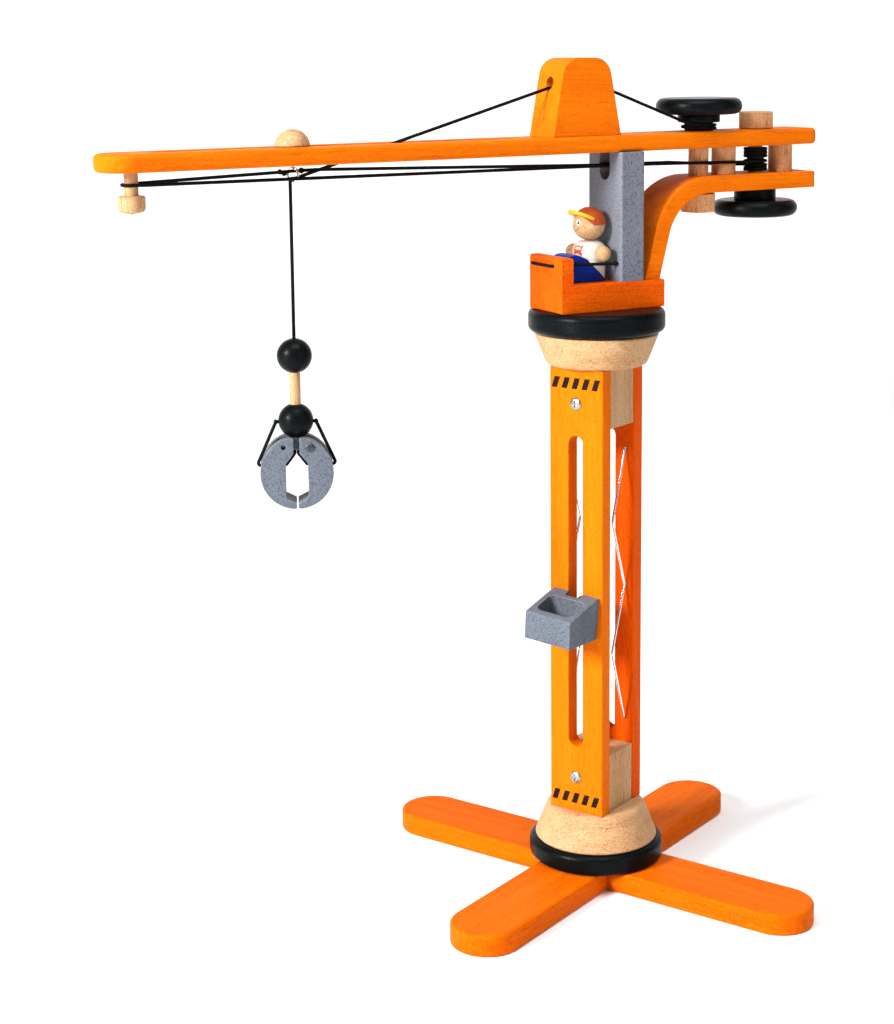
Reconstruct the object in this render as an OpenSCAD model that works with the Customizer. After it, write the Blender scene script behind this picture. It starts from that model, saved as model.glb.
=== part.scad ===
// Wooden toy tower crane.
// Cross foot, slotted two-plank tower with a sliding basket, slewing cab with a driver,
// jib with a trolley, two hand winches and a two-jaw grabber on a cord.
// Origin: centre of the underside of the foot. +Z up, jib along X with the hook towards -X.
// Moving pieces are drawn in their rest pose. All lengths are millimetres.

/* [Foot] */
// Length of the foot plank that runs under the narrow sides of the tower
foot_len_side = 336; // [260:2:420]
// Length of the foot plank that runs under the wide faces of the tower
foot_len_front = 323; // [260:2:420]
// Width of both foot planks
foot_w = 48.3; // [35:0.1:70]
// Thickness of both foot planks
foot_t = 15; // [10:0.5:22]
// Turn of the foot and tower about the vertical, seen from above
tower_turn = -64.5; // [-180:0.5:180]
// Radius of the black foot disc
foot_disc_r = 47.1; // [38:0.1:60]
// Thickness of the black foot disc
foot_disc_t = 14.4; // [8:0.1:22]
// Height of the turned natural cone, the same at the foot and at the top
cone_h = 24.5; // [16:0.5:36]
// Wide radius of the turned cones
cone_r_wide = 43.6; // [34:0.1:56]
// Narrow radius of the turned cones
cone_r_narrow = 34.1; // [28:0.1:46]

/* [Tower] */
// Width of the tower planks
tower_w = 42.5; // [32:0.5:60]
// Depth of the tower over both planks
tower_d = 53.1; // [40:0.1:70]
// Thickness of each tower plank
plank_t = 11.1; // [8:0.1:16]
// Length of the tower planks
tower_len = 314.9; // [220:0.1:420]
// Height of the lower spacer block
block_low_h = 41.2; // [25:0.1:60]
// Height of the upper spacer block
block_up_h = 41.2; // [25:0.1:60]
// Width of the long slot in each tower plank
slot_w = 12.2; // [8:0.1:18]
// Distance of the slot's lower end above the foot of the tower
slot_low = 47.8; // [44:0.1:70]
// Distance of the slot's upper end below the top of the tower
slot_up = 46.2; // [44:0.1:70]
// Diameter of the chrome brace wires
wire_d = 1.8; // [1:0.1:3]

/* [Basket] */
// Height of the basket's slider pin above the floor
basket_z = 199; // [110:1:315]
// Width of the basket
basket_w = 36; // [28:1:44]
// How far the basket stands out from the tower
basket_out = 35.6; // [24:0.1:44]
// Tilt of the basket on its pin
basket_tilt = 4.5; // [-10:0.5:10]

/* [Upper works] */
// Thickness of the black turntable disc
table_t = 16; // [10:0.5:22]
// Radius of the black turntable disc
table_r = 46.9; // [38:0.1:60]
// Width of the cab block across the jib
cab_w = 41; // [32:0.5:54]
// Length of the cab block along the jib
cab_len = 82.5; // [60:0.5:110]
// Height of the low rear part of the cab block
cab_low_h = 18.8; // [12:0.1:26]
// Height of the cab's front wall
cab_wall_h = 37.4; // [28:0.1:50]
// Thickness of the cab's front wall
cab_wall_t = 9.3; // [6:0.1:14]
// Depth of the grey post along the jib
post_d = 19; // [12:0.5:28]
// Width of the grey post across the jib
post_w = 41; // [30:0.5:50]
// Height of the underside of the jib above the floor
jib_z = 514; // [480:1:560]
// Thickness of the jib plank
jib_t = 11.2; // [8:0.1:16]
// Width of the jib plank and of the bent beam under it
jib_w = 37; // [28:0.5:46]
// Reach of the jib on the hook side of the tower axis
jib_reach = 352; // [260:1:420]
// Reach of the jib on the winch side of the tower axis
jib_tail = 173.8; // [160:0.5:240]
// Height of the trapezoid peak block
peak_h = 51.6; // [36:0.1:70]

/* [Winches] */
// Radius of both black winch wheels
wheel_r = 29.8; // [22:0.1:38]
// Thickness of both black winch wheels
wheel_t = 11.2; // [8:0.1:16]
// Radius of the hoist winch axle
axle_r = 7; // [5:0.1:9]
// Radius of the thinner trolley winch axle
travel_axle_r = 5; // [4:0.1:6]
// Place of the hoist winch along the jib
hoist_x = 83.8; // [78:0.1:90]
// Place of the trolley winch along the jib
travel_x = 133; // [128:0.1:138]

/* [Trolley and hook] */
// Distance of the trolley from the tower axis
trolley_out = 224.3; // [80:0.1:300]
// Diameter of all cords
cord_d = 2.2; // [1.5:0.1:3]
// Radius of the two black balls on the hook
ball_r = 11.1; // [9:0.1:14]
// Height of the centre of the upper black ball above the floor
ball_up_z = 394; // [120:1:480]
// Height of the centre of the lower black ball above the floor
ball_low_z = 352.4; // [80:0.1:440]
// Height of the centre of the grabber above the floor
grab_z = 320.2; // [40:0.1:400]
// Outer radius of the closed grabber
grab_r = 23.2; // [18:0.1:34]
// Thickness of the grabber jaws
grab_t = 20.5; // [12:0.5:30]
// Turn of the grabber about its cord
grab_turn = -24; // [-90:1:90]

/* [Hidden] */

orange = [0.96, 0.50, 0.05];
natural = [0.90, 0.76, 0.56];
black = [0.05, 0.06, 0.07];
grey = [0.56, 0.58, 0.62];
chrome = [0.80, 0.82, 0.84];
blue = [0.06, 0.17, 0.62];
white = [0.93, 0.91, 0.86];
cap_red = [0.72, 0.30, 0.11];
round_fn = 96;      // segments of large round shapes
cord_sides = 8;     // sides of a cord tube
glue = 0.02;        // gap left between faces that are glued
fit = 0.05;         // radial running clearance of pins and axles
loose = 0.4;        // gap between pieces that slide past one another
cord_r = cord_d / 2;
wire_r = wire_d / 2;

// heights up the tower
foot_disc_z = foot_t;
foot_cone_z = foot_disc_z + foot_disc_t;
tower_z = foot_cone_z + cone_h;
tower_top = tower_z + tower_len;
upper_cone_h = 22.4;
table_z = tower_top + upper_cone_h + 0.8;
cab_z = table_z + table_t;
seat_z = cab_z + cab_low_h;
beam_t = 11.1;
beam_top = jib_z - 19.4;
beam_z = beam_top - beam_t;
jib_top = jib_z + jib_t;

// tower cross-section, in the tower's own turned frame: the front faces -Y
face_y = tower_d / 2;
inner_y = face_y - plank_t;
block_in = 0.8;
screw_r = 1.7;
screw_head_r = 4.4;
screw_low = 25;
screw_up = 24;
bolt_r = 4;
wire_in = 6.5;
pin_r = 5.6;

// upper works along X
cab_x = -40.7;
post_x = 6.3;
peak_y = 15.3;
peak_hole_z = 560.3;
peak_hole_r = 4.4;
peak_in_x = -37.4;
peak_out_x = 3.4;
jib_slot_w = 9;
jib_slot_in = -62;
jib_slot_out = -318;
tip_x = -330;
wind_r = 12.5;
travel_wind_r = 8.5;
travel_core_r = 6;
cord_gap = 0.3;
eye_r = 4.2;
eye_wire_r = 0.7;
eye_turn = 25;
neck_r = 4;
eye_z = jib_z - 1.9 - eye_r;
drop_x = -trolley_out - (eye_wire_r + cord_r + 0.06) / cos(eye_turn);
trolley_x = -trolley_out;
pass_z = eye_z - eye_r + eye_wire_r + cord_r + 0.1;
peak_cord_z = peak_hole_z - peak_hole_r + cord_r + 0.1;
travel_near_z = 502.7;
travel_far_z = 499.9;
stick_r = 3.4;
jaw_pivot_x = 8.3;
jaw_pivot_z = 16.7;
jaw_pin_r = 1.6;
plate_t = 6;
driver_x = -6.2;
head_z = 465.5;
head_r = 11.2;

// ---------- helpers ----------
function unit(v) = v / norm(v);

// one rounded corner of a path: the points of an arc of radius r tangent to both sides
function corner(a, b, c, r, n) =
  r <= 0 ? [b] :
  let (u = unit(a - b), v = unit(c - b), th = acos(u * v), bis = unit(u + v),
       m = b + bis * r / sin(th / 2), t = r / tan(th / 2), p = b + u * t - m, q = b + v * t - m,
       ph = 180 - th)
  [for (k = [0 : n]) m + (sin((1 - k / n) * ph) * p + sin(k / n * ph) * q) / sin(ph)];

// closed outline with each corner rounded by its own radius
function rounded(pts, rs, n = 5) =
  let (m = len(pts))
  [for (i = [0 : m - 1]) each corner(pts[(i + m - 1) % m], pts[i], pts[(i + 1) % m], rs[i], n)];

// open path whose inner corners are rounded by radius r
function bend(pts, r, n = 5) =
  [for (i = [0 : len(pts) - 1])
    each (i == 0 || i == len(pts) - 1 ? [pts[i]] : corner(pts[i - 1], pts[i], pts[i + 1], r, n))];

function rect_pts(w, h, r, n = 4) =
  rounded([[-w/2, -h/2], [w/2, -h/2], [w/2, h/2], [-w/2, h/2]], [r, r, r, r], n);

// half profile of a turned disc from z = 0 to h, with lower and upper edge rounding
function disc_pts(r0, r1, h, e0, e1, n = 6) = rounded([[0, 0], [r0, 0], [r1, h], [0, h]], [0, e0, e1, 0], n);

module turned(pts, fn = round_fn) rotate_extrude($fn = fn) polygon(pts);

// tangents and carried normals along a path, then a tube of round section swept along it
function tangents(p) = [for (i = [0 : len(p) - 1])
  unit(p[min(i + 1, len(p) - 1)] - p[max(i - 1, 0)])];
function first_normal(t) = unit(cross(t, abs(t[2]) < 0.9 ? [0, 0, 1] : [1, 0, 0]));
function carried(t, i = 1, acc = []) =
  len(acc) == 0 ? carried(t, 1, [first_normal(t[0])]) :
  i == len(t) ? acc :
  carried(t, i + 1, concat(acc, [unit(acc[i - 1] - (acc[i - 1] * t[i]) * t[i])]));

module tube(path, r, sides = cord_sides, radii = []) {
  t = tangents(path);
  nv = carried(t);
  m = len(path);
  pts = [for (i = [0 : m - 1], j = [0 : sides - 1])
    path[i] + (len(radii) > 0 ? radii[i] : r)
      * (cos(360 * j / sides) * nv[i] + sin(360 * j / sides) * cross(t[i], nv[i]))];
  skin = [for (i = [0 : m - 2], j = [0 : sides - 1])
    let (a = i * sides + j, b = i * sides + (j + 1) % sides, c = b + sides, d = a + sides)
    each [[a, d, c], [a, c, b]]];
  polyhedron(points = pts, faces = concat(skin,
    [[for (j = [0 : sides - 1]) j]], [[for (j = [sides - 1 : -1 : 0]) (m - 1) * sides + j]]));
}

// round knot in a cord
knot_steps = [-0.95, -0.7, -0.35, 0, 0.35, 0.7, 0.95];
module knot(p, r)
  tube([for (k = knot_steps) p + [0, 0, k * r]], r, 10, [for (k = knot_steps) r * sqrt(1 - k * k)]);

// plank with full-round ends and rounded edges, lying from x0 to x1
module round_plank(x0, x1, w, t, e) {
  r = w / 2;
  translate([x0 + r, 0, 0]) rotate([90, 0, 90]) linear_extrude(x1 - x0 - w)
    translate([0, t / 2]) polygon(rect_pts(w, t, e));
  for (x = [x0 + r, x1 - r]) translate([x, 0, 0]) turned(disc_pts(r, r, t, e, e, 4));
}

// squared plank end with rounded corners and edges, from x0 to x1
module square_end(x0, x1, w, t, e) {
  c = 4.5;
  translate([x0, 0, 0]) rotate([90, 0, 90]) linear_extrude(x1 - x0 - c)
    translate([0, t / 2]) polygon(rect_pts(w, t, e));
  translate([x1, 0, 0]) rotate([90, 0, 0]) translate([0, 0, -(w / 2 - c)]) linear_extrude(w - 2 * c)
    polygon(rounded([[-2 * c, 0], [0, 0], [0, t], [-2 * c, t]], [0, e, e, 0], 4));
  for (s = [-1, 1]) translate([x1 - c, s * (w / 2 - c), 0]) turned(disc_pts(c, c, t, e, e, 4), 48);
}

// straight slot with round ends, cut through along Z
module slot_cut(len_a, len_b, w, h) {
  translate([len_a + w / 2, -w / 2, -1]) cube([len_b - len_a - w, w, h + 2]);
  for (x = [len_a + w / 2, len_b - w / 2]) translate([x, 0, -1]) cylinder(d = w, h = h + 2, $fn = 48);
}

module in_tower() rotate([0, 0, tower_turn]) children();

// ---------- foot ----------
lap = foot_w / 2;

module foot_plank_side() color(orange) in_tower() difference() {
  round_plank(-foot_len_side / 2, foot_len_side / 2, foot_w, foot_t, 2);
  translate([-lap - glue, -foot_w, -1]) cube([2 * (lap + glue), 2 * foot_w, foot_t / 2 + 1 + glue]);
  cylinder(r = bolt_r + fit, h = 3 * foot_t, center = true, $fn = 48);
}

module foot_plank_front() color(orange) in_tower() difference() {
  rotate([0, 0, 90]) round_plank(-foot_len_front / 2, foot_len_front / 2, foot_w, foot_t, 2);
  translate([-foot_w, -lap - glue, foot_t / 2 - glue]) cube([2 * foot_w, 2 * (lap + glue), foot_t]);
  translate([0, 0, -1]) cylinder(r = bolt_r + fit, h = foot_t, $fn = 48);
  translate([0, 0, -1]) cylinder(r = 2 * bolt_r + 0.4, h = 5, $fn = 48);
}

module foot_disc() color(black) translate([0, 0, foot_disc_z + glue]) difference() {
  turned(disc_pts(foot_disc_r, foot_disc_r, foot_disc_t - 2 * glue, 4, 4));
  translate([0, 0, -1]) cylinder(r = bolt_r + fit, h = foot_disc_t + 2, $fn = 48);
}

module foot_cone() color(natural) translate([0, 0, foot_cone_z]) difference() {
  turned(disc_pts(cone_r_wide, cone_r_narrow, cone_h - glue, 1.5, 6));
  translate([0, 0, -1]) cylinder(r = bolt_r + fit, h = cone_h - 4, $fn = 48);
}

// hidden bolt that holds the lapped planks, the disc and the cone together
module foot_bolt() color(chrome) {
  translate([0, 0, 1.2]) cylinder(r = 2 * bolt_r, h = 2.7, $fn = 48);
  translate([0, 0, 3.8]) cylinder(r = bolt_r, h = foot_cone_z + cone_h - 10, $fn = 48);
}

// ---------- tower ----------
wire_top = 309.5;
wire_kinks = [258.9, 211.5, 165.0];
wire_low = 113.5;

// holes for the wire ends: side is the x sign of the wire, at its start and end heights
module wire_holes(side, back) for (z = [wire_top, wire_low])
  translate([side * (tower_w / 2 - wire_in), back * (inner_y - 1), z]) rotate([-90 * back, 0, 0])
    cylinder(r = wire_r + fit, h = 5, $fn = 24);

module tower_plank(back) difference() {
  translate([0, back * (face_y - plank_t / 2), tower_z]) linear_extrude(tower_len - glue)
    polygon(rect_pts(tower_w, plank_t - glue, 1.2));
  translate([0, back * face_y, tower_z]) rotate([0, -90, 0]) rotate([90 , 0, 0])
    translate([0, 0, -plank_t * 2]) slot_cut(slot_low, tower_len - slot_up, slot_w, plank_t * 4);
  for (z = [tower_z + screw_low, tower_top - screw_up]) translate([0, 0, z]) rotate([90, 0, 0])
    cylinder(r = screw_r + fit, h = 3 * tower_d, center = true, $fn = 32);
  wire_holes(back, back);
}

module tower_plank_front() color(orange) in_tower() tower_plank(-1);
module tower_plank_back() color(orange) in_tower() tower_plank(1);

module tower_block(z, h) color(natural) in_tower() difference() {
  translate([0, 0, z]) linear_extrude(h)
    polygon(rect_pts(tower_w - 2 * block_in, 2 * inner_y - glue, 0.6, 2));
  for (s = [-1, 1], k = [tower_z + screw_low, tower_top - screw_up])
    translate([0, s * inner_y, k]) rotate([90 * s, 0, 0]) translate([0, 0, -1])
      cylinder(r = screw_r + fit, h = 10, $fn = 32);
}
module tower_block_lower() tower_block(tower_z, block_low_h);
module tower_block_upper() difference() {
  tower_block(tower_top - block_up_h, block_up_h - glue);
  translate([0, 0, tower_top - 22]) cylinder(r = bolt_r + fit, h = 30, $fn = 48);
}

// pan head with a cross recess
module screw(l) difference() {
  union() {
    turned([[0, 0], [screw_head_r, 0], [screw_head_r, 0.6], [3.6, 1.3], [2.2, 1.8], [0, 1.95]], 48);
    translate([0, 0, -l]) cylinder(r = screw_r, h = l + 0.1, $fn = 32);
  }
  for (a = [0, 90]) rotate([0, 0, a]) translate([-2.4, -0.45, 0.8]) cube([4.8, 0.9, 2]);
}

module tower_screws() color(chrome) in_tower()
  for (s = [-1, 1], z = [tower_z + screw_low, tower_top - screw_up])
    translate([0, s * (face_y + glue), z]) rotate([-90 * s, 0, 0]) screw(plank_t + 8);

// zigzag wire: starts and ends in one plank and kinks towards the other and back
module brace_wire(side) {
  x = side * (tower_w / 2 - wire_in);
  far = -2.7;
  y0 = inner_y + 3.5;
  pts = [[x, y0, wire_top], [x, inner_y - 1.5, wire_top], [x, far, wire_kinks[0]],
         [x, inner_y - 1.6, wire_kinks[1]], [x, far, wire_kinks[2]],
         [x, inner_y - 1.5, wire_low], [x, y0, wire_low]];
  tube(bend(pts, 2, 4), wire_r);
}
module brace_wire_right() color(chrome) in_tower() brace_wire(1);
module brace_wire_left() color(chrome) in_tower() rotate([0, 0, 180]) brace_wire(1);

// slanted warning stripes near both ends of both planks
stripe_n = 5;
stripe_pitch = 8;
stripe_w = 4.3;
stripe_h = 7.6;
stripe_slant = 2.6;
stripe_t = 0.15;
module hazard_stripes() color(black) in_tower()
  for (s = [0, 180], z = [tower_z + 5.8, tower_top - 6.2 - stripe_h], i = [0 : stripe_n - 1])
    rotate([0, 0, s]) translate([-19.6 + i * stripe_pitch, -face_y, z]) rotate([90, 0, 0])
      linear_extrude(stripe_t) polygon([[0, 0], [stripe_w, 0],
        [stripe_w + stripe_slant, stripe_h], [stripe_slant, stripe_h]]);

// ---------- basket ----------
basket_low = -15.8;
basket_back_up = 14.2;
basket_front_up = 5.2;
basket_front_low = -14.4;
pocket_x = 14.2;
pocket_y0 = 10;
pocket_y1 = 30.4;
pocket_floor = -10;
pocket_r = 5;
notch_w = 6;
notch_d = 6.5;

// the basket hangs on the slider pin, tilted about it
module on_basket() in_tower() translate([0, -face_y - loose, basket_z]) rotate([0, basket_tilt, 0]) children();

module basket() color(grey) on_basket() difference() {
  translate([-basket_w / 2, 0, 0]) rotate([90, 0, 90]) linear_extrude(basket_w)
    polygon(rounded([[0, basket_low], [0, basket_back_up], [-basket_out, basket_front_up],
                     [-basket_out + 0.6, basket_front_low]], [1, 1, 1, 1], 3));
  // pocket with rounded corners
  translate([0, -(pocket_y0 + pocket_y1) / 2, pocket_floor]) linear_extrude(40)
    polygon(rect_pts(2 * pocket_x, pocket_y1 - pocket_y0, pocket_r, 8));
  // vertical guide groove in the back
  translate([0, 0, -30]) linear_extrude(60)
    polygon([[-notch_w, 1], [-notch_w, -notch_d + 1], [-notch_w + 1, -notch_d], [notch_w - 1, -notch_d],
      [notch_w, -notch_d + 1], [notch_w, 1]]);
  // seat of the slider pin
  rotate([90, 0, 0]) cylinder(r = pin_r - 2 + fit, h = pocket_y0 - 1.4, $fn = 48);
}

module basket_slider() color(natural) on_basket() rotate([-90, 0, 0]) {
  translate([0, 0, -pocket_y0 + 1.8]) cylinder(r = pin_r - 2, h = pocket_y0, $fn = 48);
  translate([0, 0, 0.1]) cylinder(r = pin_r, h = plank_t + 2 * loose, $fn = 48);
  translate([0, 0, plank_t + 2 * loose]) turned(disc_pts(8.6, 8.6, 4, 0.6, 1.2, 3), 64);
}

// ---------- slewing joint ----------
module upper_cone() color(natural) translate([0, 0, tower_top]) difference() {
  turned(disc_pts(cone_r_narrow, 42.9, upper_cone_h, 5.5, 1.2));
  translate([0, 0, -1]) cylinder(r = bolt_r + fit, h = upper_cone_h + 2, $fn = 48);
}

module slew_bolt() color(chrome) {
  translate([0, 0, tower_top - 21]) cylinder(r = bolt_r, h = 21 + upper_cone_h + 0.8 + table_t - 6, $fn = 48);
  translate([0, 0, table_z + table_t - 6.4]) cylinder(r = 2 * bolt_r, h = 3.4, $fn = 48);
}

module turntable() color(black) translate([0, 0, table_z]) difference() {
  turned(disc_pts(table_r, table_r, table_t - glue, 4.5, 4.5));
  translate([0, 0, -1]) cylinder(r = bolt_r + fit, h = table_t, $fn = 48);
  translate([0, 0, table_t - 6.7]) cylinder(r = 2 * bolt_r + 0.4, h = 8, $fn = 48);
}

// ---------- cab ----------
strap_y_far = 16.5;
strap_y_near = -9.6;
strap_y_post = 16.4;
strap_z = 439.6;

module cab() color(orange) difference() {
  translate([0, cab_w / 2, cab_z]) rotate([90, 0, 0]) linear_extrude(cab_w)
    polygon(rounded([[cab_x, 0], [cab_x + cab_len, 0], [cab_x + cab_len, cab_low_h],
      [cab_x + cab_wall_t, cab_low_h], [cab_x + cab_wall_t, cab_wall_h], [cab_x, cab_wall_h]],
      [1.5, 1.5, 1.5, 0, 2, 1.5], 4));
  for (y = [strap_y_near, strap_y_far]) translate([cab_x - 1, y, strap_z]) rotate([0, 90, 0])
    cylinder(r = cord_r + 0.25, h = cab_wall_t + 2, $fn = 32);
}

// elastic cord: staple across the front wall, both ends run back past the driver and are knotted at the post
module cab_strap() color(black) {
  xf = cab_x - cord_r - 0.1;
  xp = post_x - 0.3;
  route = [[xp, -strap_y_post, strap_z - 0.3], [cab_x + cab_wall_t + 2.5, strap_y_near - 1.35, strap_z],
           [cab_x + cab_wall_t + 0.2, strap_y_near, strap_z], [xf, strap_y_near, strap_z],
           [xf, strap_y_far, strap_z], [cab_x + cab_wall_t, strap_y_far, strap_z],
           [xp, strap_y_post, strap_z - 0.3]];
  tube(bend(route, 1.6, 3), cord_r);
  for (y = [-strap_y_post, strap_y_post]) knot([xp - 1.8, y, strap_z - 0.3], 1.7);
}

module post() color(grey) difference() {
  translate([post_x + post_d / 2, 0, seat_z + glue]) linear_extrude(jib_z - seat_z - 2 * glue)
    polygon(rect_pts(post_d, post_w, 1.5));
  translate([post_x - 1, -6.2, 500.8]) cube([post_d + 2, 12.4, 20]);
  translate([post_x - 1, 0, 500.8]) rotate([0, 90, 0]) cylinder(r = 6.2, h = post_d + 2, $fn = 48);
}

// bent plywood beam: rises from the rear of the cab and runs level under the jib
beam_foot_x = 27.6;
beam_lean = 14.7;
beam_out_r = 46;
function beam_arc(r, cx, cz) = [for (k = [0 : 14])
  let (a = (90 - beam_lean) * (1 - k / 14)) [cx - r * sin(a), cz + r * cos(a)]];

module bent_beam() color(orange) {
  ax = beam_foot_x + tan(beam_lean) * (beam_top - beam_out_r * (1 - sin(beam_lean)) - seat_z)
       + beam_out_r * cos(beam_lean);
  az = beam_top - beam_out_r;
  in_r = beam_out_r - beam_t;
  end_x = jib_tail - 10;
  difference() {
    union() {
      translate([0, jib_w / 2, 0]) rotate([90, 0, 0]) linear_extrude(jib_w)
        polygon(concat([[beam_foot_x, seat_z + glue]], beam_arc(beam_out_r, ax, az),
          [[end_x, beam_top], [end_x, beam_z]],
          [for (k = [14 : -1 : 0]) beam_arc(in_r, ax, az)[k]],
          [[beam_foot_x + beam_t / cos(beam_lean), seat_z + glue]]));
      translate([0, 0, beam_z]) square_end(end_x - 1, jib_tail - 0.2, jib_w, beam_t, 0.4);
    }
    translate([hoist_x, 0, beam_z - 1]) cylinder(r = axle_r + fit, h = beam_t + 2, $fn = 64);
    translate([travel_x, 0, beam_z - 1]) cylinder(r = travel_axle_r + fit, h = beam_t + 2, $fn = 64);
  }
}

// ---------- jib ----------
module jib() color(orange) difference() {
  translate([0, 0, jib_z]) union() {
    round_plank(-jib_reach, jib_tail - 12, jib_w, jib_t, 3);
    square_end(jib_tail - 12 - jib_w / 2, jib_tail, jib_w, jib_t, 3);
  }
  translate([0, 0, jib_z]) slot_cut(jib_slot_out, jib_slot_in, jib_slot_w, jib_t);
  translate([hoist_x, 0, jib_z - 1]) cylinder(r = axle_r + fit, h = jib_t + 2, $fn = 64);
  translate([travel_x, 0, jib_z - 1]) cylinder(r = travel_axle_r + fit, h = jib_t + 2, $fn = 64);
  translate([tip_x, 0, jib_z - 1]) cylinder(r = 4.35, h = 9, $fn = 48);
}

module peak_block() color(orange) difference() {
  translate([0, peak_y, jib_top + glue]) rotate([90, 0, 0]) linear_extrude(2 * peak_y)
    polygon(rounded([[-43.6, 0], [9.2, 0], [-0.6, peak_h], [-34.2, peak_h]], [0, 0, 13, 13], 8));
  translate([-60, 0, peak_hole_z]) rotate([0, 90, 0]) cylinder(r = peak_hole_r, h = 90, $fn = 48);
}

dowel_x = 105.3;
dowel_r = 8.5;
module spacer_dowels() color(natural) for (x = [dowel_x, dowel_x + 49.6])
  translate([x, 0, beam_top + glue]) cylinder(r = dowel_r, h = jib_z - beam_top - 2 * glue, $fn = 64);

module tip_peg() color(natural) translate([tip_x, 0, 0]) {
  translate([0, 0, 499]) cylinder(r = 4.3, h = jib_z + 7.5 - 499, $fn = 48);
  translate([0, 0, 488.2]) turned(rounded([[0, 0], [7.6, 1.9], [8.3, 4], [8.3, 11.4], [0, 11.4]],
    [0, 1.5, 1, 1.2, 0], 3), 64);
}

// ---------- winches ----------
module wheel(z, a) translate([0, 0, z]) difference() {
  turned(disc_pts(wheel_r, wheel_r, wheel_t, 5.4, 5.4, 8));
  translate([0, 0, -1]) cylinder(r = a + fit, h = wheel_t - 3, $fn = 64);
}

// hub between a wheel and its plank, bored for the axle
module hub(z, r, h, a) translate([0, 0, z]) difference() {
  turned(disc_pts(r, r, h, 0.8, 0.8, 3));
  translate([0, 0, -1]) cylinder(r = a + fit, h = h + 2, $fn = 64);
}

// flat cap on the end of an axle; up = 1 stands above its plank
module cap(z, r, h, up, a) translate([0, 0, z]) mirror([0, 0, up > 0 ? 0 : 1]) difference() {
  turned(disc_pts(r, r, h, 0.5, 0.8, 3), 72);
  translate([0, 0, -1]) cylinder(r = a + fit, h = h * 0.6 + 1, $fn = 64);
}

// layers of wound cord as a ridged sleeve
module windings(z, h, r, a) translate([0, 0, z]) difference() {
  rotate_extrude($fn = 64) polygon(concat([[a, 0]],
    [for (i = [0 : round(h / cord_d) * 6]) [r - 0.5 + 0.5 * abs(sin(i * 30)), i * h / (round(h / cord_d) * 6)]],
    [[a, h]]));
  translate([0, 0, -1]) cylinder(r = a + fit, h = h + 2, $fn = 64);
}

hub_z = jib_top + 6;
hoist_wheel_z = hub_z + 5.6;
hoist_turn_r = wind_r - cord_r;
module hoist_wheel() color(black) translate([hoist_x, 0, 0]) wheel(hoist_wheel_z + glue, axle_r);
module hoist_hub() color(black) translate([hoist_x, 0, 0]) hub(hub_z + glue, 14.6, 5.6 - glue, axle_r);
module hoist_windings() color(black) translate([hoist_x, 0, 0])
  windings(jib_top + 0.35, 5.6, wind_r - 2 * cord_r - cord_gap, axle_r);
module hoist_axle() color(natural) translate([hoist_x, 0, beam_z - 7])
  cylinder(r = axle_r, h = hoist_wheel_z + 6 - beam_z + 7, $fn = 64);
module hoist_cap() color(natural) translate([hoist_x, 0, 0]) cap(beam_z - 1.45, 11.8, 13, 0, axle_r);

travel_wheel_z = beam_z - 0.4 - 7.6 - wheel_t;
module travel_wheel() color(black) translate([travel_x, 0, 2 * travel_wheel_z + wheel_t])
  mirror([0, 0, 1]) wheel(travel_wheel_z, travel_axle_r);
module travel_hub() color(black) translate([travel_x, 0, 0])
  hub(travel_wheel_z + wheel_t + glue, 14.7, 7.6 - glue, travel_axle_r);
module travel_axle() color(natural) translate([travel_x, 0, travel_wheel_z + 4])
  cylinder(r = travel_axle_r, h = jib_top + 6.5 - travel_wheel_z - 4, $fn = 64);
module travel_cap() color(natural)
  translate([travel_x, 0, 0]) cap(jib_top + 0.4, 11.9, 11.8, 1, travel_axle_r);

// the two strands leave the spool in the narrow waist of the lower winding
travel_waist = cord_r + 0.15;
module travel_windings() color(black) translate([travel_x, 0, 0]) {
  difference() {
    windings(beam_top + 1.2, 9, travel_wind_r, travel_axle_r);
    difference() {
      translate([0, 0, travel_far_z - travel_waist])
        cylinder(r = 20, h = travel_near_z - travel_far_z + 2 * travel_waist + 3, $fn = 48);
      translate([0, 0, travel_far_z - travel_waist - 1]) cylinder(r = travel_core_r, h = 20, $fn = 64);
    }
  }
  windings(beam_top + 10.6, 7, travel_wind_r, travel_axle_r);
}

// ---------- trolley ----------
module trolley_head() color(natural) translate([trolley_x, 0, 0]) {
  translate([0, 0, jib_top + 0.35]) turned(concat([[0, 0], [10.6, 0], [11, 0.5]],
    [for (a = [10 : 10 : 90]) [11 * cos(a), 10.4 * sin(a) + 0.2]]), 72);
  translate([0, 0, jib_z - 0.6]) cylinder(r = neck_r, h = jib_t + 1.2, $fn = 48);
}

module trolley_eye() color(chrome) translate([trolley_x, 0, 0]) {
  translate([0, 0, eye_z]) rotate([0, 90, eye_turn]) rotate_extrude($fn = 48)
    translate([eye_r, 0]) circle(r = eye_wire_r, $fn = 16);
  translate([0, 0, eye_z + eye_r - 0.2])
    cylinder(r = eye_wire_r, h = jib_z - 0.6 - glue - eye_z - eye_r + 0.2, $fn = 16);
}

// ---------- cords of the hoist ----------
// turns about a vertical axis at cx; rise is the height gained in one full turn
function wrap(cx, r, z, a0, a1, n, rise = 0) = [for (k = [0 : n])
  let (a = a0 + (a1 - a0) * k / n) [cx + r * cos(a), r * sin(a), z + rise * abs(a - a0) / 360]];
function line_pts(a, b, n) = [for (k = [0 : n]) a + (b - a) * k / n];

// from the peak block's front mouth, through its hole and down to the last turns on the drum
module hoist_cord_back() color(black) {
  z = jib_top + 4.4;
  tube(concat(bend([[peak_in_x - 0.5, 0, peak_cord_z], [peak_out_x + 1, 0, peak_cord_z],
                    [hoist_x - 14, -hoist_turn_r * 0.92, z + 0.5],
                    [hoist_x - 1.5, -hoist_turn_r, z]], 6, 4),
              wrap(hoist_x, hoist_turn_r, z, -88, 410, 34, -2.25)), cord_r);
}

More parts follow.
